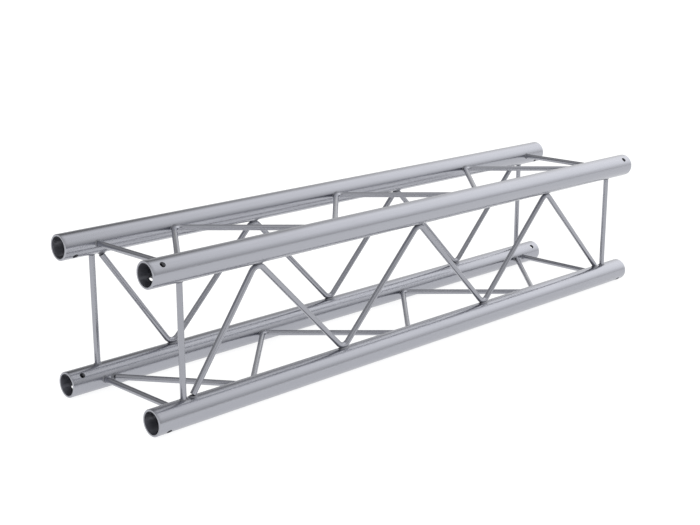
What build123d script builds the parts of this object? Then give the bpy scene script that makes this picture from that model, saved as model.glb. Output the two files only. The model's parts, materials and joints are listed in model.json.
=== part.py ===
"""Lighting truss section, a welded aluminium box truss.

Four chord tubes stand at the corners of a square. One bent rod laces each face, and a square frame
of straight rods braces the section near each end. A conical socket is pressed into every tube end,
and a cross hole there takes the pin that holds the coupler of the next section. The frame is
welded, so nothing on it moves.

Millimetres. The origin is the middle of the section, +X runs along it, +Y is its rear and +Z is up.
"""
import os
from math import asin, atan, atan2, cos, degrees, floor, hypot, radians, sin, sqrt, tan

from build123d import *

os.makedirs("parts", exist_ok=True)

# Whole section
length = 1000.0  # end face to end face
chord_spacing = 185.0  # chord axis to chord axis, across and up

# Chord tubes
chord_diameter = 35.0
chord_wall = 2.0
deburr = 0.8  # chamfer on the outer edge of a cut end

# Conical sockets in the tube ends
socket_depth = 36.0
socket_mouth_diameter = 29.4
socket_half_angle = 6.5  # degrees, cone side to tube axis
socket_lead = 1.0  # chamfer that starts the socket into the tube

# Cross holes for the coupler pins
pin_hole_diameter = 7.5
pin_hole_inset = 17.0  # end face to hole axis

# Rods
rod_diameter = 8.0
bend_radius = 12.5  # lacing bends, on the rod's centreline
leg_angle = 45.0  # degrees, lacing leg to chord
left_foot_inset = 63.8  # left end face to the middle of the lacing's cut end
right_foot_inset = 70.4  # the same at the right end
brace_inset = 49.0  # end face to the axis of the end braces

# Welds
root_gap = 0.1  # between a rod and the tube it is welded to
weld_leg = 1.3  # bead width on the tube, beside the rod
weld_rise = 1.7  # bead height above the tube
bend_weld_run = 8.0  # straight part of the bead under a bend
foot_weld_run = 3.0  # the same at a cut end
weld_bury = 0.5  # the bead starts this far under the tube's surface, so that it is cut cleanly
rod_share = 0.9  # the bead's top edge lies this far out on the rod

# Worked out from the above
chord_radius = chord_diameter / 2
bore_radius = chord_radius - chord_wall
rod_radius = rod_diameter / 2
axis_offset = chord_spacing / 2  # truss axis to a chord's axis
crown = axis_offset - chord_radius  # middle of a face to the nearest line of a chord
reach = crown - root_gap  # middle of a face to the outermost metal of a rod
end_x = length / 2

faces = {"front": (0, -1, 0), "top": (0, 0, 1), "rear": (0, 1, 0), "bottom": (0, 0, -1)}
chord_sides = {
    "front_top": (-1, 1),
    "rear_top": (1, 1),
    "rear_bottom": (1, -1),
    "front_bottom": (-1, -1),
}
ends = {"left": -1, "right": 1}


def finish(piece, name):
    """Label a finished piece and write its file."""
    piece.part.label = name
    export_step(piece.part, f"parts/{name}.step")


def face_plane(outward):
    """Plane through the two chord axes of a face: X along the truss, Z out of the face."""
    return Plane(origin=Vector(*outward) * axis_offset, x_dir=(1, 0, 0), z_dir=outward)


def pin_hole_plane(end, sides):
    """Plane on the outer corner of a chord, over its cross hole, Z straight out of the truss."""
    side_y, side_z = sides
    outward = Vector(0, side_y, side_z).normalized()
    axis_point = Vector(end * (end_x - pin_hole_inset), side_y * axis_offset, side_z * axis_offset)
    return Plane(origin=axis_point + outward * chord_radius, x_dir=(1, 0, 0), z_dir=outward)


# ---------------------------------------------------------------- chord tubes
def make_chord(sides):
    """A tube the full length of the section, cross-drilled at both ends."""
    side_y, side_z = sides
    with BuildPart() as tube:
        with BuildSketch(Plane.YZ.offset(-end_x)):
            with Locations((side_y * axis_offset, side_z * axis_offset)):
                Circle(chord_radius)
                Circle(bore_radius, mode=Mode.SUBTRACT)
        extrude(amount=length)
        rims = tube.edges().filter_by(GeomType.CIRCLE).group_by(SortBy.RADIUS)[-1]
        chamfer(rims, length=deburr)
        for end in ends.values():
            with Locations(pin_hole_plane(end, sides)):
                Hole(radius=pin_hole_diameter / 2, depth=chord_diameter)
    return tube


# ---------------------------------------------------------------- conical sockets
def make_socket(end, sides):
    """A ring pressed flush into a tube end, bored to a cone that narrows inwards."""
    side_y, side_z = sides
    mouth_radius = socket_mouth_diameter / 2
    throat_radius = mouth_radius - socket_depth * tan(radians(socket_half_angle))
    axis_point = (end * end_x, side_y * axis_offset, side_z * axis_offset)
    with BuildPart() as ring:
        with BuildSketch(Plane(origin=axis_point, x_dir=(-end, 0, 0), z_dir=(0, 1, 0))):
            with BuildLine():
                Polyline(
                    (0, mouth_radius),
                    (0, bore_radius),
                    (socket_depth - socket_lead, bore_radius),
                    (socket_depth, bore_radius - socket_lead),
                    (socket_depth, throat_radius),
                    close=True,
                )
            make_face()
        revolve(axis=Axis(axis_point, (1, 0, 0)))
        with Locations(pin_hole_plane(end, sides)):
            Hole(radius=pin_hole_diameter / 2, depth=chord_diameter)
    return ring


# ---------------------------------------------------------------- lacing
def foot_height(angle):
    """Middle of a face to the middle of a square-cut rod end whose lower corner meets the chord."""
    return reach - rod_radius * cos(angle)


def lacing_layout():
    """Where a face's lacing bends and turns, in the face's own plane.

    The legs stand at leg_angle from the right foot leftwards, and the first leg takes up what is
    left of the length. Gives the corners of the centreline before it is rounded, and the places
    along the truss of the two feet and of every bend.
    """
    leg = radians(leg_angle)
    bend_height = reach - rod_radius - bend_radius
    left_foot = -end_x + left_foot_inset
    right_foot = end_x - right_foot_inset
    last_run = (bend_radius + (foot_height(leg) + bend_height) * cos(leg)) / sin(leg)
    last_bend = right_foot - last_run
    pitch = 2 * (bend_radius + bend_height * cos(leg)) / sin(leg)
    count = 1 + floor((last_bend - left_foot - bend_radius) / pitch)
    bends = [last_bend - pitch * (count - 1 - number) for number in range(count)]

    first_leg = leg
    for _ in range(8):
        run = bends[0] - left_foot
        rise = foot_height(first_leg) + bend_height
        first_leg = atan2(rise, run) + asin(bend_radius / hypot(run, rise))

    corners = [(left_foot, -foot_height(first_leg))]
    side = 1
    before = first_leg
    for bend in bends:
        spread = 1 + cos(before + leg)
        along = bend_radius * (sin(leg) - sin(before)) / spread
        out = bend_radius * (cos(leg) + cos(before)) / spread
        corners.append((bend + along, side * (bend_height + out)))
        side = -side
        before = leg
    corners.append((right_foot, side * foot_height(leg)))
    return corners, left_foot, right_foot, bends, degrees(first_leg), pitch


def make_lacing(outward):
    """One rod, bent to and fro between the two chords of a face."""
    corners = lacing_layout()[0]
    with BuildPart() as rod:
        with BuildLine(face_plane(outward)) as route:
            FilletPolyline(*corners, radius=bend_radius)
        with BuildSketch(Plane(origin=route.line @ 0, z_dir=route.line % 0)):
            Circle(rod_radius)
        sweep(path=route.line)
    return rod


# ---------------------------------------------------------------- end braces
def make_brace(end, outward):
    """A straight rod between the two chords of a face, cut square at both ends."""
    plane = face_plane(outward)
    foot = plane.from_local_coords(Vector(end * (end_x - brace_inset), -reach, 0))
    with BuildPart() as rod:
        with BuildSketch(Plane(origin=foot, x_dir=(1, 0, 0), z_dir=plane.y_dir)):
            Circle(rod_radius)
        extrude(amount=2 * reach)
    return rod


# ---------------------------------------------------------------- welds
def make_bead(outward, x, side, run):
    """A bead with sloping flanks round a rod, on the chord at one side of a face."""
    half_width = rod_radius + weld_leg
    drop = chord_radius - sqrt(chord_radius**2 - half_width**2)
    slope = (half_width - rod_share * rod_radius) / (drop + weld_rise)
    foot_width = half_width + slope * weld_bury
    plane = face_plane(outward)
    origin = plane.from_local_coords(Vector(x, side * (crown + drop + weld_bury), 0))
    with BuildPart() as bead:
        with BuildSketch(Plane(origin=origin, x_dir=(1, 0, 0), z_dir=plane.y_dir * -side)):
            if run:
                SlotCenterToCenter(run, 2 * foot_width)
            else:
                Circle(foot_width)
        extrude(amount=drop + weld_rise + weld_bury, taper=degrees(atan(slope)))
    return bead


def trim_beads(beads, rods):
    """One piece of several beads, without the space that the chords and the rods fill."""
    with BuildPart() as welds:
        for bead in beads:
            add(bead.part)
        for side_y, side_z in chord_sides.values():
            middle = (0, side_y * axis_offset, side_z * axis_offset)
            with Locations(Location(middle, (0, 90, 0))):
                Cylinder(chord_radius, length, mode=Mode.SUBTRACT)
        for rod in rods:
            add(rod.part, mode=Mode.SUBTRACT)
    return welds


def make_lacing_welds(outward, rod):
    """The beads that hold one face's lacing: one at each foot and one at each bend."""
    _, left_foot, right_foot, bends, _, _ = lacing_layout()
    beads = [make_bead(outward, left_foot, -1, foot_weld_run)]
    side = 1
    for bend in bends:
        beads.append(make_bead(outward, bend, side, bend_weld_run))
        side = -side
    beads.append(make_bead(outward, right_foot, side, foot_weld_run))
    return trim_beads(beads, [rod])


def make_brace_welds(end, rods):
    """The eight beads that hold the four braces at one end."""
    brace_x = end * (end_x - brace_inset)
    beads = [
        make_bead(outward, brace_x, side, 0) for outward in faces.values() for side in (-1, 1)
    ]
    return trim_beads(beads, rods)


# ---------------------------------------------------------------- the assembly
for place, sides in chord_sides.items():
    finish(make_chord(sides), f"chord_{place}")
    for end_name, end in ends.items():
        finish(make_socket(end, sides), f"socket_{end_name}_{place}")

for face, outward in faces.items():
    lacing = make_lacing(outward)
    finish(lacing, f"lacing_{face}")
    finish(make_lacing_welds(outward, lacing), f"lacing_welds_{face}")

for end_name, end in ends.items():
    braces = [make_brace(end, outward) for outward in faces.values()]
    for face, brace in zip(faces, braces):
        finish(brace, f"end_brace_{end_name}_{face}")
    finish(make_brace_welds(end, braces), f"end_brace_welds_{end_name}")

_, left_foot, right_foot, bends, first_leg, pitch = lacing_layout()
print("lacing feet", round(left_foot, 2), round(right_foot, 2))
print("lacing bends", [round(bend, 2) for bend in bends], "pitch", round(pitch, 2))
print("first leg", round(first_leg, 2), "degrees")
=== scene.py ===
# %% [markdown]
# # A lighting truss section
# The object is one metre of box truss: four aluminium tubes, a bent rod that laces each face, a
# square of straight rods near each end, and a conical socket inside every tube end. It is welded
# together, so nothing on it moves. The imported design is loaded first. It fixes every size and place,
# and nothing here may move it.

import json
from math import asin, atan2, cos, hypot, pi, radians, sin, tan

import bmesh
import bpy
import numpy as np
from mathutils import Euler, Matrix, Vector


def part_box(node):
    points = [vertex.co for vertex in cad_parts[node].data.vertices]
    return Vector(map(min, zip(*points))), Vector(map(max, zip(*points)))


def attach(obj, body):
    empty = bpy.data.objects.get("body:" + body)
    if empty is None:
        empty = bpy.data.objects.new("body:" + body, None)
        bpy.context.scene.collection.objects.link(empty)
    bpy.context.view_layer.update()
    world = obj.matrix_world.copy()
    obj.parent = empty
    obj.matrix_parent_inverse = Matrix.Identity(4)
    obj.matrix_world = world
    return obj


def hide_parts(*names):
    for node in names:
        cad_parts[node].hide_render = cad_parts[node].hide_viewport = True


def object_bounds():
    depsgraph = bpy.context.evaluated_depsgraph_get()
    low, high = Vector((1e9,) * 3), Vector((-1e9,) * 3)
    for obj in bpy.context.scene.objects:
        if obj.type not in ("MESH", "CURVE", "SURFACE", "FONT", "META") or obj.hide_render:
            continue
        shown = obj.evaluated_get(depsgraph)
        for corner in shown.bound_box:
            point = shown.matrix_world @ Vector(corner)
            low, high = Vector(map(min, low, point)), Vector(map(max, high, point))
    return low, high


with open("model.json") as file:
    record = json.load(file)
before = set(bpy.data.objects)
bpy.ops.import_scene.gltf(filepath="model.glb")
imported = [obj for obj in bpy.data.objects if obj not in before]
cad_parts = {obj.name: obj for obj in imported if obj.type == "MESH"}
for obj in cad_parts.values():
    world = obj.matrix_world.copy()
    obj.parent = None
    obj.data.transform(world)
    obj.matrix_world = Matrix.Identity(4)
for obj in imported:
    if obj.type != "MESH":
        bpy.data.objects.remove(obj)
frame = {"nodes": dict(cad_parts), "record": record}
cad_low, cad_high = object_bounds()
print("frame", len(frame["nodes"]), "nodes, size", [round(x, 4) for x in cad_high - cad_low])

# %% [markdown]
# The design's boxes and mounts give the driving sizes back: the tube's radius and place from a
# tube's box, the rod's from a rod's box, and the pin holes from the mounts. Reading them keeps the
# new surfaces and the design together. Only shapes that a box can't tell, such as the angle of a
# cone or the radius of a bend, are named here.

# %% Sizes read from the frame, in metres
END_NAMES = {"left": -1, "right": 1}
FACES = {"front": (0, -1, 0), "top": (0, 0, 1), "rear": (0, 1, 0), "bottom": (0, 0, -1)}
CORNERS = {
    "front_top": (-1, 1),
    "rear_top": (1, 1),
    "rear_bottom": (1, -1),
    "front_bottom": (-1, -1),
}

tube_low, tube_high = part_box("chord_rear_top")
TUBE_RADIUS = (tube_high.y - tube_low.y) / 2
AXIS_OFFSET = (tube_high.y + tube_low.y) / 2
END_X = tube_high.x

ring_low, ring_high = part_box("socket_right_rear_top")
BORE_RADIUS = (ring_high.y - ring_low.y) / 2
RING_DEPTH = ring_high.x - ring_low.x

rod_low, rod_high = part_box("lacing_front")
ROD_RADIUS = (rod_high.y - rod_low.y) / 2
ROD_REACH = rod_high.z

brace_low, brace_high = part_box("end_brace_right_front")
BRACE_X = (brace_low.x + brace_high.x) / 2

pin_hole = next(m for m in frame["record"]["mounts"] if m["name"] == "pin_hole_right_rear_top")
PIN_X = pin_hole["pos_m"][0]
PIN_RADIUS = pin_hole["dims"]["r_mm"] / 1000

CONE_MOUTH = 0.0147
CONE_ANGLE = radians(6.5)
BEND_RADIUS = 0.0125
LEG_ANGLE = radians(45)
print("tube", TUBE_RADIUS, "rod", ROD_RADIUS, "pin hole", PIN_X, PIN_RADIUS)

# %% [markdown]
# Every new piece starts as rows of points worked out with numpy. A grid of rows is joined into quads,
# and an open end is closed with a fan of triangles. Blender's own primitives would need no such
# helpers, but they can't follow a bent rod or leave a window for a drilled hole.

# %% Faces from rows of points
def grid_quads(rows, columns, first=0, closed=False):
    """Corners of the quads between neighbouring rows of a grid whose columns wrap round."""
    row = np.arange(rows if closed else rows - 1)[:, None]
    column = np.arange(columns)[None, :]
    beside = (column + 1) % columns
    below = (row + 1) % rows
    corners = (row * columns + column, row * columns + beside, below * columns + beside,
               below * columns + column)
    return first + np.stack(np.broadcast_arrays(*corners), -1).reshape(-1, 4)


def fan(loop, tip):
    """Triangles from each side of a closed loop of points to one tip."""
    return np.stack([loop, np.roll(loop, -1), np.full(len(loop), tip)], -1)


print("two rows of four points make", len(grid_quads(2, 4)), "quads round")

# %% [markdown]
# The points and faces become one object, which sits at the origin with its place in its mesh. It is
# shaded smooth, so that a tube looks round, but faces that meet at more than 35 degrees keep a crisp
# edge between them, as at a cut end. A second finish can be given to some of its faces by number,
# which is how the walls of the drilled holes get theirs.

# %% A piece from points and faces
CRISP_ANGLE = radians(35)


def make_piece(name, points, faces, along=None, drilled=()):
    """A smooth mesh object at the origin. along, where given, holds each point's distance along the
    rod and its two offsets from the rod's axis, for patterns that follow the rod. drilled holds
    further faces, which take the object's second finish."""
    faces = list(faces) + list(drilled)
    mesh = bpy.data.meshes.new(name)
    mesh.from_pydata(points.tolist(), [], [face for group in faces for face in group.tolist()])
    if along is not None:
        track = mesh.attributes.new("track", "FLOAT_VECTOR", "POINT")
        track.data.foreach_set("vector", along.astype(np.float32).ravel())
    finish = np.zeros(len(mesh.polygons), np.int32)
    finish[len(finish) - sum(len(group) for group in drilled):] = 1
    mesh.polygons.foreach_set("material_index", finish)
    shape = bmesh.new()
    shape.from_mesh(mesh)
    bmesh.ops.recalc_face_normals(shape, faces=shape.faces)
    shape.to_mesh(mesh)
    shape.free()
    mesh.shade_smooth()
    mesh.set_sharp_from_angle(angle=CRISP_ANGLE)
    piece = bpy.data.objects.new(name, mesh)
    bpy.context.scene.collection.objects.link(piece)
    return piece


print("edges turn crisp past", round(CRISP_ANGLE * 180 / pi), "degrees")

# %% [markdown]
# Each piece then has to be tied to the design: which body it moves with and which of the design's
# nodes it stands for. Its finish is put on later. The truss is one welded body, so every piece rides
# on the same one, and one helper says both things.

# %% Tie a piece to the design
def install(piece, slot, *nodes):
    """The piece rides on the welded frame and stands for its design nodes. Its slot is not used."""
    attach(piece, "root")
    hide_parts(*nodes)


print("design nodes to replace", len(frame["nodes"]))

# %% [markdown]
# A tube end is a turned shape with a cross hole through both walls. A Boolean would leave long
# slivers round the hole, so the surface is built round it instead: the outline is turned into a
# grid, and a square window of the grid is left out where the hole comes through. This cell makes
# the grid and finds the window's edge.

# %% A turned grid with windows
AROUND = 96
HALF_WINDOW = 8


def turned_grid(outline):
    """A closed outline of (x, radius) rows turned about the X axis.

    Each point is (x, radius * sin(a), radius * cos(a)), for even steps of the angle a.
    """
    turn = 2 * pi * np.arange(AROUND) / AROUND
    x, radius = outline[:, :1], outline[:, 1:]
    grid = np.stack(np.broadcast_arrays(x, radius * np.sin(turn), radius * np.cos(turn)), -1)
    return grid.reshape(-1, 3)


def window_edge(first_row, last_row, middle):
    """Grid indices once round the edge of a window that is centred on the column middle."""
    rows = np.arange(first_row, last_row + 1)
    cols = np.arange(middle - HALF_WINDOW, middle + HALF_WINDOW + 1) % AROUND
    return np.concatenate([
        first_row * AROUND + cols[:-1],
        rows[:-1] * AROUND + cols[-1],
        last_row * AROUND + cols[:0:-1],
        rows[:0:-1] * AROUND + cols[0],
    ])


print("a window is", 2 * HALF_WINDOW, "cells of", AROUND, "wide")

# %% [markdown]
# Rings of points then fill the window. Seen straight down the hole they pass from the square to
# the hole's circle, and each point's height keeps it on the turned surface. The last two rings turn
# over the hole's edge, so that it catches the light as a real drilled edge does.

# %% Rings from a window to its hole
EDGE_ROUND = 0.00012
RING_SHARES = np.array([0.78, 0.56, 0.36, 0.2, 0.09, 0.0])
EDGE_TURN = np.array([0.3, 1.0])


def hole_rings(edge_points, hole_x, rows, up, inwards):
    """Rings of points from a window's edge to the hole, outermost first.

    In plan a ring point is the circle's point plus a share of the way out to the window's edge.
    Its height is the square root of radius squared less sideways distance squared, where radius is
    read from the outline at its x. up is 1 or -1, the side of the turned shape the window is on,
    and inwards is 1 where metal lies below the surface and -1 where it lies above.
    """
    plan = edge_points[:, :2] - (hole_x, 0)
    bearing = np.arctan2(plan[:, 1], plan[:, 0])
    circle = np.stack([np.cos(bearing), np.sin(bearing)], -1)
    wide = circle * (PIN_RADIUS + EDGE_ROUND)
    share = RING_SHARES[:, None, None]
    tuck = EDGE_TURN[:, None, None] * EDGE_ROUND
    rings = np.concatenate([wide + share * (plan - wide), wide - tuck * circle])
    rows = rows[np.argsort(rows[:, 0])]
    radius = np.interp(hole_x + rings[..., 0], rows[:, 0], rows[:, 1])
    height = np.sqrt(radius ** 2 - rings[..., 1] ** 2)
    drop = EDGE_ROUND * np.concatenate([np.zeros(len(RING_SHARES)), EDGE_TURN])
    height -= inwards * drop[:, None]
    return np.stack([hole_x + rings[..., 0], rings[..., 1], up * height], -1)


def by_bearing(rim, points, hole_x):
    """A hole's rim put in order round the hole, so that two rims can be joined."""
    across, along = points[rim][:, 1], points[rim][:, 0] - hole_x
    return rim[np.argsort(np.arctan2(across, along))]


print("rings in a window", len(RING_SHARES) + len(EDGE_TURN))

# %% [markdown]
# Last, the windows, their rings and the hole's wall are put together. The wall is a band of quads
# between the outer and the inner rim. It is kept apart, because a drilled wall gets a rougher finish
# than the surface round it, and a dark colour that is painted shade for the inside of the hole.

# %% A turned shape with cross holes
def turned_with_holes(outline, holes):
    """Points, faces and hole walls of a turned outline with round cross holes.

    holes lists, for each hole, its place along X and the outline rows that its windows span on the
    outer and the inner surface. Each hole goes through both sides of the turned shape.
    """
    points = turned_grid(outline)
    keep = np.ones((len(outline), AROUND), bool)
    rings_faces, walls = [], []
    for hole_x, *spans in holes:
        for middle, up in ((0, 1), (AROUND // 2, -1)):
            rims = []
            for inwards, (first_row, last_row) in zip((1, -1), spans):
                cols = np.arange(middle - HALF_WINDOW, middle + HALF_WINDOW) % AROUND
                keep[first_row:last_row, cols] = False
                edge = window_edge(first_row, last_row, middle)
                rows = outline[first_row:last_row + 1]
                rings = hole_rings(points[edge], hole_x, rows, up, inwards)
                count, sides = rings.shape[:2]
                loop = len(points) + np.arange(sides)
                first = np.stack([edge, np.roll(edge, -1), np.roll(loop, -1), loop], -1)
                rings_faces += [first, grid_quads(count, sides, len(points))]
                rims.append(loop + (count - 1) * sides)
                points = np.concatenate([points, rings.reshape(-1, 3)])
            outer, inner = (by_bearing(rim, points, hole_x) for rim in rims)
            walls.append(np.stack([outer, np.roll(outer, -1), np.roll(inner, -1), inner], -1))
    quads = grid_quads(len(outline), AROUND, closed=True).reshape(len(outline), AROUND, 4)
    return points, [quads[keep]] + rings_faces, walls


print("cross holes of", round(2000 * PIN_RADIUS, 2), "mm, through both sides")

# %% [markdown]
# The cross holes of a real section point straight out of its corners, at 45 degrees to its faces, so
# that a pin can be knocked in past the lacing. A tube end is made with its hole along Z and then
# turned to its corner. The object itself could be turned instead, but then its noise would turn with
# it, so the points are turned and the object stays as it is.

# %% Turn a shape onto a corner
def onto_corner(points, sides):
    """Turns a shape made about the X axis so that its +Z points out of a truss corner, and moves it
    to that corner's tube axis."""
    side_y, side_z = sides
    outward = np.array([0, side_y, side_z]) / np.sqrt(2)
    across = np.cross(outward, (1, 0, 0))
    turned = points[:, :1] * (1, 0, 0) + points[:, 1:2] * across + points[:, 2:] * outward
    return turned + (0, side_y * AXIS_OFFSET, side_z * AXIS_OFFSET)


print("corner axes", round(2 * AXIS_OFFSET, 4), "m apart")

# %% [markdown]
# The outline of a tube goes along its outside, round the rim, and back along its bore. A saw leaves
# both edges of a cut end sharp. A fabricator takes the outer one off with a file and hardly touches
# the inner one, so each gets an arc of its own, where a Bevel modifier would round both alike.
# Windows need evenly spaced rows, and the long stretch between them gets one every 20 mm.

# %% Half of a tube's outline
RIM_ROUND = 0.0009
BORE_BREAK = 0.00018
ROW_STEP = 0.02
quarter = np.linspace(0, pi / 2, 5)
window_half = TUBE_RADIUS * sin(2 * pi * HALF_WINDOW / AROUND)
window_rows = np.linspace(PIN_X - window_half, PIN_X + window_half, 2 * HALF_WINDOW + 1)


def half_outline(radius, rim, inwards):
    """Rows from the middle of the tube to one end: the long stretch, the window and the rim's arc.

    Along the arc x grows with the sine of its angle, and the radius moves towards the metal by one
    less the cosine. inwards is 1 where metal lies below the surface and -1 where it lies above.
    """
    middle = np.arange(ROW_STEP / 2, window_rows[0] - ROW_STEP / 2, ROW_STEP)
    arc_x = END_X - rim + rim * np.sin(quarter)
    arc_radius = radius - inwards * rim * (1 - np.cos(quarter))
    x = np.concatenate([middle, window_rows, [(window_rows[-1] + END_X) / 2], arc_x])
    r = np.concatenate([np.full(len(x) - len(quarter), radius), arc_radius])
    return np.stack([x, r], -1), len(middle)


outer_half, window_at = half_outline(TUBE_RADIUS, RIM_ROUND, 1)
inner_half, _ = half_outline(BORE_RADIUS, BORE_BREAK, -1)
print("half a tube's outline has", len(outer_half) + len(inner_half), "rows")

# %% [markdown]
# A tube's two ends are alike, so half an outline is mirrored to make the whole. The four tubes
# differ only in where they stand and in which way their cross holes point. Their points are worked
# out once and turned to each corner, and each tube stays an object of its own, as on the bench.

# %% The four tubes
mirror = (-1, 1)
outer = np.concatenate([(outer_half * mirror)[::-1], outer_half])
inner = np.concatenate([inner_half[::-1], inner_half * mirror])
tube_outline = np.concatenate([outer, inner])

# The outline now has four stretches of half rows each: outside left, outside right, inside right and
# inside left. The first and the third run from the tube's end to its middle.
half = len(outer_half)
near, far = window_at, window_at + 2 * HALF_WINDOW
right_outer = (half + near, half + far)
left_outer = (half - 1 - far, half - 1 - near)
right_inner = (3 * half - 1 - far, 3 * half - 1 - near)
left_inner = (3 * half + near, 3 * half + far)
tube_points, tube_faces, tube_walls = turned_with_holes(
    tube_outline, [(PIN_X, right_outer, right_inner), (-PIN_X, left_outer, left_inner)])

tubes = []
for place, sides in CORNERS.items():
    tube = make_piece(f"tube_{place}", onto_corner(tube_points, sides), tube_faces,
                      drilled=tube_walls)
    install(tube, "chord_tube", f"chord_{place}")
    tubes.append(tube)
print("tubes", len(tubes), "with", len(tubes[0].data.polygons), "faces each")

# %% [markdown]
# The socket is a ring pressed into the tube. Its bore is a cone that narrows inwards, so a coupler
# wedges tight in it as the pin draws it home. It is turned from an outline like the tube, but its
# windows lie on a cone, which the rings follow by reading the radius from the outline. A hair of
# space is left round it, so that a thin line shows where its lip meets the tube.

# %% The outline of a socket
RING_GAP = 0.00003
RING_BREAK = 0.00015
LEAD = 0.001
ring_radius = BORE_RADIUS - RING_GAP


def cone_radius(depth):
    """Radius of the cone: its mouth's radius less the depth times the tangent of its angle."""
    return CONE_MOUTH - depth * tan(CONE_ANGLE)


throat = cone_radius(RING_DEPTH)
pin_depth = END_X - PIN_X
window_depths = np.linspace(pin_depth - window_half, pin_depth + window_half, 2 * HALF_WINDOW + 1)
lip_arc = RING_BREAK * np.stack([1 - np.sin(quarter), np.cos(quarter) - 1], -1)
mouth_arc = RING_BREAK * np.stack([1 - np.cos(quarter), 1 - np.sin(quarter)], -1)
outside = np.concatenate([
    (lip_arc + (0, ring_radius))[::-1],
    np.stack([window_depths, np.full(len(window_depths), ring_radius)], -1),
    [(RING_DEPTH - LEAD, ring_radius), (RING_DEPTH, ring_radius - LEAD), (RING_DEPTH, throat)],
])
cone_depths = np.concatenate([window_depths[::-1], [window_depths[0] / 2]])
inside = np.stack([cone_depths, cone_radius(cone_depths)], -1)
mouth = mouth_arc[::-1] + (0, CONE_MOUTH)
ring_outline = np.concatenate([outside, inside, mouth])
ring_outline[:, 0] = END_X - ring_outline[:, 0]
print("socket mouth", round(2000 * CONE_MOUTH, 2), "mm, throat", round(2000 * throat, 2), "mm")

# %% [markdown]
# One ring is turned and drilled, and its points serve for all eight. A left ring is a mirrored right
# one. Mirroring turns a mesh inside out, which is why make_piece works out every mesh's outward side
# again.

# %% The eight sockets
start = len(lip_arc)
inside_start = len(outside)
span = 2 * HALF_WINDOW
ring_points, ring_faces, ring_walls = turned_with_holes(
    ring_outline, [(PIN_X, (start, start + span), (inside_start, inside_start + span))])

rings = []
for end_name, end in END_NAMES.items():
    for place, sides in CORNERS.items():
        points = onto_corner(ring_points * (end, 1, 1), sides)
        ring = make_piece(f"socket_ring_{end_name}_{place}", points, ring_faces,
                          drilled=ring_walls)
        install(ring, "machined_socket", f"socket_{end_name}_{place}")
        rings.append(ring)
print("sockets", len(rings), "with", len(rings[0].data.polygons), "faces each")

# %% [markdown]
# A rod is a circle carried along a path. A Curve object with a round bevel would do it too, but
# here each point also keeps its place along the rod, for the finish to follow. On the lacing the
# path is straight legs joined by arcs, and it lies flat in one face of the truss, so one side of the
# circle always points out of the face and the other is square to the path.

# %% Rings round a path
ROD_AROUND = 40
CUT_ROUND = 0.0004
CUT_RINGS = np.array([0.35, 0.7])


def face_axes(outward):
    """The upward direction in a face, seen from outside with +X to the right, and the way out."""
    out = np.array(outward, float)
    return np.cross(out, (1, 0, 0)), out


def rod_points(path, heading, out, swell):
    """Rings round a path that lies flat in a face.

    Each ring point is centre + r * (cos(a) * side + sin(a) * out), where side is square to the path
    in the face. At a cut end the rings run over the flat face and then over a rounded edge: there
    they stand back by one less the sine of the edge's angle, and shrink by one less its cosine.
    """
    flat_face = np.zeros(len(CUT_RINGS))
    ends_in = CUT_ROUND * np.concatenate([flat_face, 1 - np.sin(quarter[::-1])])[:, None]
    full = np.concatenate([CUT_RINGS, np.ones(len(quarter))])
    shrink = np.concatenate([flat_face, 1 - np.cos(quarter[::-1])])
    cut = (ROD_RADIUS * full - CUT_ROUND * shrink)[:, None]
    first = path[:1] + heading[:1] * ends_in
    last = path[-1:] - heading[-1:] * ends_in[::-1]
    centres = np.concatenate([first, path[1:-1], last])
    ways = np.concatenate([np.repeat(heading[:1], len(first), 0), heading[1:-1],
                           np.repeat(heading[-1:], len(last), 0)])
    radii = np.concatenate([cut, ROD_RADIUS * np.ones((len(path) - 2, 1)), cut[::-1]])
    flat = np.concatenate([np.zeros(len(first)), swell[1:-1], np.zeros(len(last))])[:, None]
    turn = 2 * pi * np.arange(ROD_AROUND) / ROD_AROUND
    side = np.cross(ways, out)
    across = radii * np.cos(turn) * (1 - flat)
    over = radii * np.sin(turn) * (1 + flat)
    points = centres[:, None] + across[..., None] * side[:, None] + over[..., None] * out
    travel = np.concatenate([[0], np.cumsum(np.linalg.norm(np.diff(centres, axis=0), axis=1))])
    track = np.stack([np.broadcast_to(travel[:, None], across.shape), across, over], -1)
    return points, track


print("a rod has", ROD_AROUND, "points round it")

# %% [markdown]
# A saw cuts the real rod square across. One face with forty corners would fill the end, but it would
# shade badly next to the round edge. A fan of triangles from a point in the middle does better, with
# two rings between the middle and the edge.

# %% A closed rod
def rod_piece(name, path, heading, out, swell=None):
    """A closed rod from its path, with a fan on each cut end."""
    swell = np.zeros(len(path)) if swell is None else swell
    points, track = rod_points(path, heading, out, swell)
    rows = points.shape[0]
    tips = points[[0, -1]].mean(1)
    track_tips = track[[0, -1]].mean(1)
    flat_points = np.concatenate([points.reshape(-1, 3), tips])
    flat_track = np.concatenate([track.reshape(-1, 3), track_tips])
    loop = np.arange(ROD_AROUND)
    total = rows * ROD_AROUND
    faces = [grid_quads(rows, ROD_AROUND), fan(loop, total),
             fan(total - ROD_AROUND + loop, total + 1)]
    return make_piece(name, flat_points, faces, flat_track)


print("a cut end has", len(CUT_RINGS) + len(quarter), "rings")

# %% [markdown]
# The lacing's bends are set out as a fabricator would: from the right end the legs stand at 45
# degrees, bend after bend, and the first leg at the left end takes up what is left. The first leg's
# angle and its foot's place depend on each other, so each is worked out from the other a few times
# until they settle.

# %% Set out the lacing
SETTLING_ROUNDS = 8


def foot_height(angle):
    """Middle of a face to the middle of a square-cut end whose lower corner meets the tube."""
    return ROD_REACH - ROD_RADIUS * cos(angle)


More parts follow.
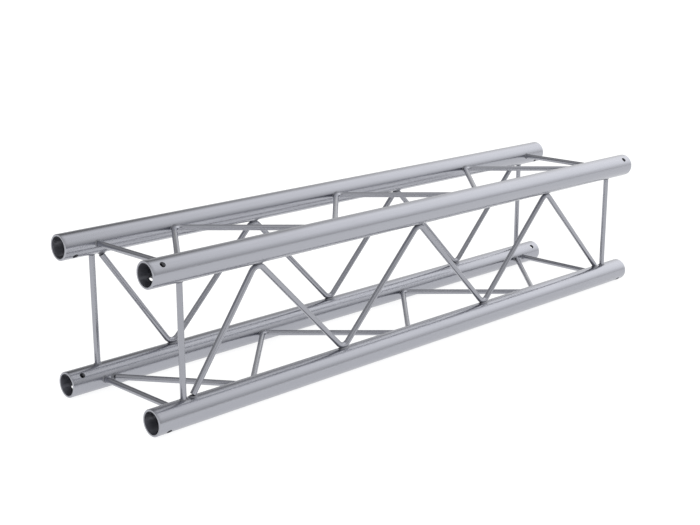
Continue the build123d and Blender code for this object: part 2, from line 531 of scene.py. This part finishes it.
bend_height = ROD_REACH - ROD_RADIUS - BEND_RADIUS
right_foot = rod_high.x - ROD_RADIUS * sin(LEG_ANGLE)
last_run = (BEND_RADIUS + (foot_height(LEG_ANGLE) + bend_height) * cos(LEG_ANGLE)) / sin(LEG_ANGLE)
pitch = 2 * (BEND_RADIUS + bend_height * cos(LEG_ANGLE)) / sin(LEG_ANGLE)
bend_count = int((right_foot - last_run - BEND_RADIUS - rod_low.x) / pitch) + 1
bends = right_foot - last_run - pitch * np.arange(bend_count)[::-1]
first_leg = LEG_ANGLE
for _ in range(SETTLING_ROUNDS):
    left_foot = rod_low.x + ROD_RADIUS * sin(first_leg)
    run, rise = bends[0] - left_foot, foot_height(first_leg) + bend_height
    first_leg = atan2(rise, run) + asin(BEND_RADIUS / hypot(run, rise))
print("bends at", np.round(bends * 1000, 1), "mm, first leg", round(first_leg * 180 / pi, 1))

# %% [markdown]
# The centreline is one flat line, foot to foot. Only the bends need points, because a leg is
# straight from where one bend ends to where the next begins. A cold-bent rod flattens a little where
# it turns, so the line also carries a swell: two percent in the middle of a bend, nothing at its
# ends.

# %% The centreline of the lacing
BEND_STEPS = 14
BEND_FLATTEN = 0.02


def lacing_path():
    """Centreline in the face's own plane: foot, arcs and foot, with its heading and swell.

    On an arc the heading's angle falls evenly. The point is the bend's place less the radius times
    its sine, at the bend's height plus the radius times its cosine, and side mirrors every second
    bend to the other tube.
    """
    path, heading, swell = [[(left_foot, -foot_height(first_leg))]], [[first_leg]], [[0]]
    side, arriving = 1, first_leg
    for bend in bends:
        angle = np.linspace(arriving, -LEG_ANGLE, BEND_STEPS + 1)
        arc = np.stack([bend - BEND_RADIUS * np.sin(angle),
                        side * (bend_height + BEND_RADIUS * np.cos(angle))], -1)
        path.append(arc)
        heading.append(side * angle)
        swell.append(BEND_FLATTEN * np.sin(np.linspace(0, pi, BEND_STEPS + 1)) ** 2)
        side, arriving = -side, LEG_ANGLE
    path.append([(right_foot, side * foot_height(LEG_ANGLE))])
    heading.append([side * LEG_ANGLE])
    swell.append([0])
    angle = np.concatenate(heading)
    return np.concatenate(path), np.stack([np.cos(angle), np.sin(angle)], -1), np.concatenate(swell)


flat_path, flat_heading, swell = lacing_path()
print("the lacing's centreline has", len(flat_path), "points")

# %% [markdown]
# All four faces carry the same rod. Each face has its own upward and outward direction, and the flat
# centreline is laid into it with them. Four linked copies of one mesh would share one set of points,
# but each would need a turned object, so every face gets a mesh of its own instead.

# %% The four lacing rods
lacings = []
for face, outward in FACES.items():
    up, out = face_axes(outward)
    basis = np.stack([(1, 0, 0), up])
    rod = rod_piece(f"lacing_rod_{face}", flat_path @ basis + AXIS_OFFSET * out,
                    flat_heading @ basis, out, swell)
    install(rod, "lacing_rod", f"lacing_{face}")
    lacings.append(rod)
print("lacing", len(lacings), "rods,", len(lacings[0].data.polygons), "faces each")

# %% [markdown]
# The end braces are plain straight rods, one between each pair of neighbouring tubes. A cylinder
# would give the shape, but neither the rounded cut edge nor the place along the rod that the finish
# follows, so the braces come from the same helper as the lacing.

# %% The eight end braces
BRACE_STEPS = 9
braces = []
for end_name, end in END_NAMES.items():
    for face, outward in FACES.items():
        up, out = face_axes(outward)
        levels = np.linspace(-ROD_REACH, ROD_REACH, BRACE_STEPS)[:, None]
        path = np.array([end * BRACE_X, 0, 0]) + levels * up + AXIS_OFFSET * out
        heading = np.repeat(up[None], BRACE_STEPS, 0)
        rod = rod_piece(f"brace_rod_{end_name}_{face}", path, heading, out)
        install(rod, "lacing_rod", f"end_brace_{end_name}_{face}")
        braces.append(rod)
print("braces", len(braces), "with", len(braces[0].data.polygons), "faces each")

# %% [markdown]
# A hand-laid weld is a mound round the foot of the rod, with a ripple for every dab of filler. A
# plain fillet with painted ripples would look flat at its outline. Here the mound is a surface of two
# numbers: one goes round the rod, the other climbs from the tube to the rod. The ripples are a wave
# along the first number, bent by the second so that they trail like scales.

# %% One weld bead
BEAD_AROUND = 150
BEAD_ROWS = 11
BEAD_LEG = 0.0013
BEAD_RISE = 0.0019
BEAD_CROWN = 0.85
BEAD_TOP = 0.58
BEAD_SINK = 0.0003
WOBBLE_WIDE = 0.025
WOBBLE_SMALL = 0.02
RIPPLE = 0.00005
RIPPLE_LENGTH = 0.0011
RIPPLE_TRAIL = 2.2


def bead(x, side, run, up, out, phase):
    """One mound on a tube, round a rod that meets it at x.

    A point's plan is an ellipse scaled from 1 at the toe to BEAD_TOP under the rod, and wobbling
    twice and five times round. Its height over the tube is BEAD_RISE times a rounded climb, plus a
    ripple that fades at both edges. The tube's own surface falls away by its radius less the root
    of radius squared less v squared.
    """
    turn = 2 * pi * np.arange(BEAD_AROUND) / BEAD_AROUND
    climb = np.linspace(0, 1, BEAD_ROWS)[:, None]
    half_width = ROD_RADIUS + BEAD_LEG
    length = half_width + run / 2
    wobble = 1 + WOBBLE_WIDE * np.sin(2 * turn + phase) + WOBBLE_SMALL * np.sin(5 * turn + 2 * phase)
    scale = (1 - (1 - BEAD_TOP) * climb) * wobble
    u, v = length * scale * np.cos(turn), half_width * scale * np.sin(turn)
    dabs = round(pi * (length + half_width) / RIPPLE_LENGTH)
    wave = np.sin(dabs * turn - RIPPLE_TRAIL * climb ** 2 + phase) * np.sin(pi * climb)
    height = BEAD_RISE * climb ** BEAD_CROWN + RIPPLE * wave - BEAD_SINK * (climb == 0)
    ground = np.sqrt(TUBE_RADIUS ** 2 - v ** 2) - TUBE_RADIUS
    level = AXIS_OFFSET - TUBE_RADIUS - ground - height
    points = (x + u)[..., None] * np.array([1, 0, 0]) + (side * level)[..., None] * up
    points = points + (AXIS_OFFSET + v)[..., None] * out
    tips = np.stack([points[0].mean(0), points[-1].mean(0)])
    loop = np.arange(BEAD_AROUND)
    total = BEAD_ROWS * BEAD_AROUND
    faces = [grid_quads(BEAD_ROWS, BEAD_AROUND), fan(loop, total),
             fan(total - BEAD_AROUND + loop, total + 1)]
    return np.concatenate([points.reshape(-1, 3), tips]), faces


print("a bead is", round(2000 * (ROD_RADIUS + BEAD_LEG), 1), "mm wide, with",
      BEAD_AROUND * BEAD_ROWS, "points")

# %% [markdown]
# The lacing of a face is welded at both feet and under every bend, by turns at the upper and the
# lower tube. Under a bend the rod runs along the tube for a while, so the bead there is longer. Each
# bead starts its wobble and its ripples at another angle, which is cheaper than a random number and
# gives the same beads on every run.

# %% The beads of the lacing
BEND_RUN, FOOT_RUN = 0.008, 0.003
LACING_PHASE = 1.7


def join_beads(name, beads):
    """One object of several separate mounds."""
    points, faces, count = [], [], 0
    for bead_points, bead_faces in beads:
        points.append(bead_points)
        faces += [group + count for group in bead_faces]
        count += len(bead_points)
    return make_piece(name, np.concatenate(points), faces)


welds = []
for number, (face, outward) in enumerate(FACES.items()):
    up, out = face_axes(outward)
    places = [(left_foot, -1, FOOT_RUN)]
    places += [(bend, 1 - 2 * (k % 2), BEND_RUN) for k, bend in enumerate(bends)]
    places += [(right_foot, 1 - 2 * (len(bends) % 2), FOOT_RUN)]
    beads = [bead(x, side, run, up, out, number + LACING_PHASE * k)
             for k, (x, side, run) in enumerate(places)]
    weld = join_beads(f"lacing_beads_{face}", beads)
    install(weld, "weld_bead", f"lacing_welds_{face}")
    welds.append(weld)
print("lacing beads", len(welds), "pieces of", len(places), "beads")

# %% [markdown]
# A brace meets its tubes square, so its two beads are round, and the same helper makes them with no
# straight run. The eight beads of an end are one piece, as they are in the design.

# %% The beads of the end braces
BRACE_PHASE = 2.1
for end_name, end in END_NAMES.items():
    beads = []
    for number, outward in enumerate(FACES.values()):
        up, out = face_axes(outward)
        beads += [bead(end * BRACE_X, side, 0, up, out, end + number + BRACE_PHASE * side)
                  for side in (-1, 1)]
    weld = join_beads(f"brace_beads_{end_name}", beads)
    install(weld, "weld_bead", f"end_brace_welds_{end_name}")
    welds.append(weld)
print("weld pieces", len(welds), "with", sum(len(w.data.polygons) for w in welds), "faces")

# %% [markdown]
# ## Finishes
# All of it is bare aluminium, but worked in five ways: extruded tube, drawn rod, turned socket,
# drilled hole and welded bead. The shader is the same metal each time. What differs is how rough it
# is, which way its marks run, and how dark it is: the rods, the drilled walls and the beads are
# darker, as painted shade. Image textures could carry the marks, but noise worked out in space has no
# seams and needs no unwrapping.

# %% A bare metal
ALUMINIUM = (0.375, 0.382, 0.420)


def metal(name):
    """A metallic material, with its node tree and its shader."""
    material = bpy.data.materials.new(name)
    material.use_nodes = True
    tree = material.node_tree
    shader = tree.nodes["Principled BSDF"]
    shader.inputs["Metallic"].default_value = 1.0
    return material, tree, shader


print("colour of aluminium", ALUMINIUM)

# %% [markdown]
# The marks of a tool run one way: along a tube, round a bore. Noise has no direction of its own, but
# it gets one when the place it is read at is scaled unevenly. A brushed-metal picture would repeat.
# Noise never does.

# %% Marks that run one way
def object_place(tree):
    """Where a point lies on the object, which is the same for every piece of it."""
    return tree.nodes.new("ShaderNodeTexCoord").outputs["Object"]


def stretched_noise(tree, place, stretch, detail=3.0):
    """Noise read at a place scaled by stretch: the smaller a scale, the longer the marks that way."""
    scaled = tree.nodes.new("ShaderNodeMapping")
    scaled.inputs["Scale"].default_value = stretch
    noise = tree.nodes.new("ShaderNodeTexNoise")
    noise.inputs["Scale"].default_value = 1.0
    noise.inputs["Detail"].default_value = detail
    tree.links.new(place, scaled.inputs["Vector"])
    tree.links.new(scaled.outputs["Vector"], noise.inputs["Vector"])
    return noise.outputs["Fac"]


print("marks are noise, read at a scaled place")

# %% [markdown]
# Marks do three things to a metal: they make it rougher or smoother, darker or lighter, and they dent
# it. One noise can drive all three, so that a dull streak is also a dark one, as on the real thing.
# These helpers add the nodes, so that each finish below reads as a short list of what it has.

# %% What the marks do
NOISE_BAND = (0.3, 0.7)


def roughen(tree, shader, noise, low, high):
    """Roughness from low to high, as the noise goes across the band that it mostly stays in."""
    spread = tree.nodes.new("ShaderNodeMapRange")
    spread.inputs["From Min"].default_value = NOISE_BAND[0]
    spread.inputs["From Max"].default_value = NOISE_BAND[1]
    spread.inputs["To Min"].default_value = low
    spread.inputs["To Max"].default_value = high
    tree.links.new(noise, spread.inputs["Value"])
    tree.links.new(spread.outputs["Result"], shader.inputs["Roughness"])


def tint(tree, shader, noise, dark, light):
    """Base colour from dark to light times the colour of aluminium, as the noise goes from 0 to 1."""
    mix = tree.nodes.new("ShaderNodeMix")
    mix.data_type = "RGBA"
    mix.inputs["A"].default_value = (*(channel * dark for channel in ALUMINIUM), 1)
    mix.inputs["B"].default_value = (*(channel * light for channel in ALUMINIUM), 1)
    tree.links.new(noise, mix.inputs["Factor"])
    tree.links.new(mix.outputs["Result"], shader.inputs["Base Color"])


def bump(tree, shader, noise, depth):
    """Marks pressed into the surface, at most depth deep."""
    press = tree.nodes.new("ShaderNodeBump")
    press.inputs["Strength"].default_value = 1.0
    press.inputs["Distance"].default_value = depth
    tree.links.new(noise, press.inputs["Height"])
    tree.links.new(press.outputs["Normal"], shader.inputs["Normal"])


print("noise mostly stays between", *NOISE_BAND)

# %% [markdown]
# A tube is pressed hot through a die, and every scratch in the die draws a fine line along it.
# Handling leaves soft patches that are a little duller. The Anisotropic setting would stretch the
# reflections as such lines do, but it needs tangents that end badly at the rims. Noise that is
# squeezed hundreds of times less along the tube than across it gives the lines themselves.

# %% Extruded tube
DIE_LINES = (3, 1400, 1400)
TUBE_CLOUDS = (14, 45, 45)
TUBE_ROUGHNESS = (0.21, 0.27)
TUBE_TINT = (0.965, 1.035)
TUBE_RELIEF = 0.00002
CLOUD_DETAIL = 4


def tube_finish():
    """Fine lines along X in the colour and the relief, and clouds in the roughness."""
    material, tree, shader = metal("extruded_tube")
    place = object_place(tree)
    lines = stretched_noise(tree, place, DIE_LINES)
    clouds = stretched_noise(tree, place, TUBE_CLOUDS, CLOUD_DETAIL)
    roughen(tree, shader, clouds, *TUBE_ROUGHNESS)
    tint(tree, shader, lines, *TUBE_TINT)
    bump(tree, shader, lines, TUBE_RELIEF)
    return material


extruded = tube_finish()
print(extruded.name, "has", len(extruded.node_tree.nodes), "nodes")

# %% [markdown]
# A rod is pulled cold through a ring, so its lines are finer and it is a little smoother. Its colour
# is set darker than the tube's, which is painted shade that makes the rods look darker than the tubes.
# The lines have to follow it round its bends, where lines along X would cut across it. That is what
# the rods' track attribute is for: it holds the distance along the rod and the offset from its axis.

# %% Drawn rod
DRAWN_LINES = (6, 1800, 1800)
ROD_CLOUDS = (25, 120, 120)
ROD_ROUGHNESS = (0.18, 0.25)
# Both ends lie below the tube's: the lower level is painted shade on the rods.
ROD_LINES_AND_SHADE = (0.84, 0.95)
ROD_RELIEF = 0.000015


def rod_finish():
    """The tube's lines and clouds, read from the rod's track, over a darker colour that is painted
    shade.
    """
    material, tree, shader = metal("drawn_rod")
    attribute = tree.nodes.new("ShaderNodeAttribute")
    attribute.attribute_name = "track"
    track = attribute.outputs["Vector"]
    lines = stretched_noise(tree, track, DRAWN_LINES)
    clouds = stretched_noise(tree, track, ROD_CLOUDS, CLOUD_DETAIL)
    roughen(tree, shader, clouds, *ROD_ROUGHNESS)
    tint(tree, shader, lines, *ROD_LINES_AND_SHADE)
    bump(tree, shader, lines, ROD_RELIEF)
    return material


drawn = rod_finish()
print(drawn.name, "has", len(drawn.node_tree.nodes), "nodes")

# %% [markdown]
# A lathe tool leaves rings that run round the socket's bore. Rings about each socket's axis could be
# a wave of the distance from its end. Noise that changes quickly along X and hardly at all across it
# gives rings as well, and uneven ones, as a real tool leaves them.

# %% Turned socket
TOOL_RINGS = (2600, 4, 4)
TOOL_DETAIL = 2
SOCKET_ROUGHNESS = (0.32, 0.44)
SOCKET_TINT = (0.8, 1.0)
SOCKET_RELIEF = 0.00002


def socket_finish():
    """Rings across X in the roughness, the colour and the relief."""
    material, tree, shader = metal("turned_socket")
    marks = stretched_noise(tree, object_place(tree), TOOL_RINGS, TOOL_DETAIL)
    roughen(tree, shader, marks, *SOCKET_ROUGHNESS)
    tint(tree, shader, marks, *SOCKET_TINT)
    bump(tree, shader, marks, SOCKET_RELIEF)
    return material


turned = socket_finish()
print(turned.name, "has", len(turned.node_tree.nodes), "nodes")

# %% [markdown]
# A drill leaves a torn wall that hardly shines. The wall could take the tube's own finish, but then a
# small hole would catch the light and look filled in. A rough metal with a dark colour, which is
# painted shade for the inside of the hole, keeps it a dark dot. Its marks are too small to need a
# direction.

# %% Drilled hole
GRAIN = (900, 900, 900)
HOLE_ROUGHNESS = (0.5, 0.7)
# A tint far below the aluminium's: painted shade for the inside of the hole.
HOLE_PAINTED_SHADE = (0.25, 0.45)


def drilled_finish():
    """Coarse grain in the roughness and the colour, over a dark colour that is painted shade."""
    material, tree, shader = metal("drilled_hole")
    marks = stretched_noise(tree, object_place(tree), GRAIN, TOOL_DETAIL)
    roughen(tree, shader, marks, *HOLE_ROUGHNESS)
    tint(tree, shader, marks, *HOLE_PAINTED_SHADE)
    return material


drilled = drilled_finish()
print(drilled.name, "has", len(drilled.node_tree.nodes), "nodes")

# %% [markdown]
# Weld metal cools with a frosted skin. Its colour is kept far below the rod's, as painted shade
# where the rod meets the tube. Bump could draw its ripples too, but they are already in the mesh, so
# the finish only adds a fine grain to them.

# %% Weld bead
BEAD_ROUGHNESS = (0.34, 0.44)
# About half the aluminium's colour: painted shade where the rod meets the tube.
BEAD_PAINTED_SHADE = (0.42, 0.6)
BEAD_RELIEF = 0.00001


def bead_finish():
    """Fine grain in the roughness, the colour and the relief, over a dark colour that is painted
    shade.
    """
    material, tree, shader = metal("weld_bead")
    marks = stretched_noise(tree, object_place(tree), GRAIN)
    roughen(tree, shader, marks, *BEAD_ROUGHNESS)
    tint(tree, shader, marks, *BEAD_PAINTED_SHADE)
    bump(tree, shader, marks, BEAD_RELIEF)
    return material


frosted_and_shaded = bead_finish()
print(frosted_and_shaded.name, "has", len(frosted_and_shaded.node_tree.nodes), "nodes")

# %% [markdown]
# A mesh may carry several finishes, and each face says by number which one it takes. On the tubes
# and the sockets the second finish is the drilled wall, which make_piece has already marked.

# %% Put the finishes on
def paint(pieces, *materials):
    """The same finishes, in order, on each piece."""
    for piece in pieces:
        for material in materials:
            piece.data.materials.append(material)
    print([material.name for material in materials], "on", len(pieces), "pieces")


paint(tubes, extruded, drilled)
paint(rings, turned, drilled)
paint(lacings + braces, drawn)
paint(welds, frosted_and_shaded)

# %% [markdown]
# ## Floor, light and camera
# Bare metal shows what stands round it, so the studio matters as much as the finish. The floor is a
# pale lit table: part of its light is its own, which keeps the shadows under the tubes faint. A
# shadow catcher would hide the floor altogether, but the tubes' undersides need it to mirror.

# %% Floor
FLOOR_SIZE = 60.0
FLOOR_GREY = 0.36
FLOOR_GLOW = 0.84
floor_mesh = bpy.data.meshes.new("floor")
edge = FLOOR_SIZE / 2
corners = [(-edge, -edge, cad_low.z), (edge, -edge, cad_low.z),
           (edge, edge, cad_low.z), (-edge, edge, cad_low.z)]
floor_mesh.from_pydata(corners, [], [(0, 1, 2, 3)])
floor = bpy.data.objects.new("floor", floor_mesh)
bpy.context.scene.collection.objects.link(floor)
floor_material = bpy.data.materials.new("pale_floor")
floor_material.use_nodes = True
floor_shader = floor_material.node_tree.nodes["Principled BSDF"]
floor_shader.inputs["Base Color"].default_value = (FLOOR_GREY, FLOOR_GREY, FLOOR_GREY, 1)
floor_shader.inputs["Roughness"].default_value = 1.0
floor_shader.inputs["Specular IOR Level"].default_value = 0.0
floor_shader.inputs["Emission Color"].default_value = (1, 1, 1, 1)
floor_shader.inputs["Emission Strength"].default_value = FLOOR_GLOW
floor_mesh.materials.append(floor_material)
print("floor at", round(cad_low.z, 4))

# %% [markdown]
# The light is painted into the sky: a dim room, three soft boxes, and one dark panel, which takes
# light away. Each is a cosine of the angle from its own middle, raised to a power: the higher the
# power, the smaller the box. Area lamps would light the metal too, but they show in it with hard
# edges. These fade out softly, so a tube carries a wide bright band that is strongest towards its
# far end, and a darker line where it mirrors the room's dim horizon.

# %% A soft box in the sky
world = bpy.data.worlds.new("studio")
bpy.context.scene.world = world
world.use_nodes = True
sky_nodes, sky_links = world.node_tree.nodes, world.node_tree.links
direction = sky_nodes.new("ShaderNodeTexCoord").outputs["Generated"]


def sky_math(operation, first, second):
    """One sum on two values or node outputs, with its result."""
    node = sky_nodes.new("ShaderNodeMath")
    node.operation = operation
    for socket, value in zip(node.inputs, (first, second)):
        if isinstance(value, bpy.types.NodeSocket):
            sky_links.new(value, socket)
        else:
            socket.default_value = value
    return node.outputs["Value"]


def soft_box(heading, height, strength, power):
    """Brightness of one box: strength times the cosine from its middle, never below zero, raised to
    a power."""
    middle = (cos(height) * cos(heading), cos(height) * sin(heading), sin(height))
    node = sky_nodes.new("ShaderNodeVectorMath")
    node.operation = "DOT_PRODUCT"
    node.inputs[1].default_value = middle
    sky_links.new(direction, node.inputs[0])
    facing = sky_math("MAXIMUM", node.outputs["Value"], 0.0)
    return sky_math("MULTIPLY", sky_math("POWER", facing, power), strength)


print("sky ready, with", len(sky_nodes), "nodes")

# %% [markdown]
# Indoors the walls are a little brighter towards the ceiling, so the room's own light grows with the
# height of the place in the sky. The boxes and the panel are added to it. A panel can take more than
# there is, so the sum is kept above a small value.

# %% The whole sky
ROOM = 0.27
ROOM_RISE = 0.38
DARKEST = 0.03
BOXES_AND_PANEL = (  # heading, height, strength, power
    (radians(-21), radians(23), 1.19, 6.5),
    (radians(39), radians(36), 1.75, 7.0),
    (radians(50), radians(39), -2.00, 12.6),
    (radians(-133), radians(5), 0.61, 2.0),
)
split = sky_nodes.new("ShaderNodeSeparateXYZ")
sky_links.new(direction, split.inputs["Vector"])
rise = sky_math("MAXIMUM", split.outputs["Z"], 0.0)
brightness = sky_math("ADD", sky_math("MULTIPLY", rise, ROOM_RISE), ROOM)
for box in BOXES_AND_PANEL:
    brightness = sky_math("ADD", brightness, soft_box(*box))
brightness = sky_math("MAXIMUM", brightness, DARKEST)
sky_links.new(brightness, sky_nodes["Background"].inputs["Strength"])
sky_nodes["Background"].inputs["Color"].default_value = (1, 1, 1, 1)
print("sky with", len(sky_nodes), "nodes")

# %% [markdown]
# The camera stands off the left end, a little above the section, and looks across it at 45 degrees,
# from close enough that the far end looks clearly smaller. A Track To constraint would aim it, but
# plain angles keep the view the same when a piece changes. The Standard view shows the metal's greys
# as they are lit, where Blender's usual one would soften the bright band.

# %% Camera
CAMERA_PLACE = (-1.3192, -1.2487, 0.4817)
CAMERA_HEADING = radians(-45.03)
CAMERA_PITCH = radians(-14.977)
LENS = 63.98
SENSOR_WIDTH = 36.0
camera_data = bpy.data.cameras.new("camera")
camera_data.lens = LENS
camera_data.sensor_width = SENSOR_WIDTH
camera = bpy.data.objects.new("camera", camera_data)
camera.location = CAMERA_PLACE
camera.rotation_euler = Euler((pi / 2 + CAMERA_PITCH, 0, CAMERA_HEADING))
bpy.context.scene.collection.objects.link(camera)
bpy.context.scene.camera = camera
bpy.context.scene.view_settings.view_transform = "Standard"
print("camera at", CAMERA_PLACE, "with a lens of", LENS, "mm")
